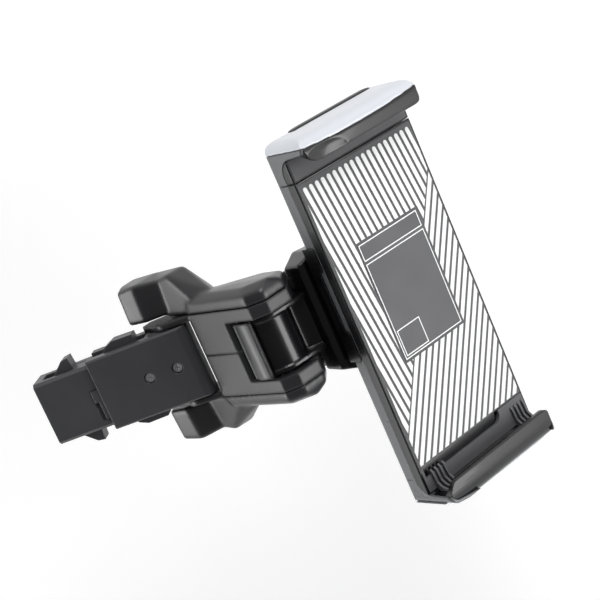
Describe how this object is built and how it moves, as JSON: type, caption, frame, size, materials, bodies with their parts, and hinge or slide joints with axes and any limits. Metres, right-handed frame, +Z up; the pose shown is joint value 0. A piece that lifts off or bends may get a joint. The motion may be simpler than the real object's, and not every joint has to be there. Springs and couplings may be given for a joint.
{
  "type": "headrest tablet mount",
  "caption": "Headrest tablet mount: latching plug on a winged pivoting arm, tilting and turning tray with a striped grip mat, and a sprung sliding jaw that hooks over a small tablet",
  "frame": {"origin": "centre of the plug's pivot, midway between the two cheeks", "axes": "+X along the hinge pins, +Y from the plug towards the tray, +Z up, out of the plug's flat top face"},
  "size_m": [0.1342, 0.1569, 0.0538],
  "materials": {
    "plug_plastic": "fine matt moulding",
    "satin_plastic": "satin moulding",
    "gloss_plastic": "high gloss black",
    "grey_plastic": "satin grey",
    "pale_plastic": "plain moulding",
    "silver_trim": "pale satin silver",
    "grip_rubber": "matt grip rubber",
    "white_rubber": "matt white",
    "label_grey": "matt film",
    "bright_steel": "plain steel",
    "dark_steel": "blackened steel"
  },
  "bodies": {
    "plug_body": {"plug_tip": "plug_plastic", "sleeve_base": "plug_plastic", "sleeve_cover": "plug_plastic", "sleeve_screws": "dark_steel", "latch_pins": "bright_steel", "latch_spring": "bright_steel", "trunnion_pins": "bright_steel"},
    "latch_left": {"latch_lever_left": "plug_plastic"},
    "latch_right": {"latch_lever_right": "plug_plastic"},
    "arm_body": {"arm_half_left": "satin_plastic", "arm_half_right": "satin_plastic", "side_cover_left": "satin_plastic", "side_cover_right": "satin_plastic", "arm_screws": "bright_steel", "drum_shield": "satin_plastic", "tilt_pin": "bright_steel", "tilt_washers": "bright_steel"},
    "knuckle_body": {"knuckle": "gloss_plastic", "swivel_base": "gloss_plastic", "swivel_bolt": "bright_steel", "swivel_washer": "pale_plastic"},
    "tray_body": {"hub_cradle": "gloss_plastic", "rear_shell": "grey_plastic", "front_frame": "gloss_plastic", "grip_mat": "grip_rubber", "stripes_upper": "white_rubber", "stripes_lower": "white_rubber", "label_field": "label_grey", "label_lines": "white_rubber", "lower_jaw_pad": "grip_rubber", "lower_jaw_ribs": "grip_rubber", "lower_jaw_trim": "silver_trim", "jaw_spring": "bright_steel"},
    "jaw_body": {"upper_jaw": "gloss_plastic", "upper_jaw_shell": "grey_plastic", "upper_jaw_pad": "grip_rubber", "upper_jaw_ribs": "grip_rubber", "upper_jaw_trim": "silver_trim", "upper_jaw_inlay": "satin_plastic", "jaw_tongue": "satin_plastic"}
  },
  "joints": [
    {"name": "latch_left_press", "type": "hinge", "parent": "plug_body", "child": "latch_left", "pos_m": [-0.0102, -0.0092, 0], "axis": [0, 0, 1], "range_deg": [0, 6], "stiffness_Nm_per_rad": 0.6, "springref_deg": -5.73, "deforming": ["latch_spring"]},
    {"name": "latch_right_press", "type": "hinge", "parent": "plug_body", "child": "latch_right", "pos_m": [0.0102, -0.0092, 0], "axis": [0, 0, -1], "range_deg": [0, 6], "stiffness_Nm_per_rad": 0.6, "springref_deg": -5.73, "deforming": ["latch_spring"]},
    {"name": "plug_pitch", "type": "hinge", "parent": "plug_body", "child": "arm_body", "pos_m": [0, 0, 0], "axis": [1, 0, 0], "range_deg": [-40, 40]},
    {"name": "tilt", "type": "hinge", "parent": "arm_body", "child": "knuckle_body", "pos_m": [0, 0.0345, 0.0135], "axis": [1, 0, 0], "range_deg": [-30, 40]},
    {"name": "tray_swivel", "type": "hinge", "parent": "knuckle_body", "child": "tray_body", "pos_m": [0, 0.07286, -0.00848], "axis": [0, 0.7431, 0.6691], "continuous": true},
    {"name": "jaw_slide", "type": "slide", "parent": "tray_body", "child": "jaw_body", "axis": [-1, 0, 0], "range_m": [0, 0.07], "stiffness_N_per_m": 60, "springref_m": -0.08}
  ]
}
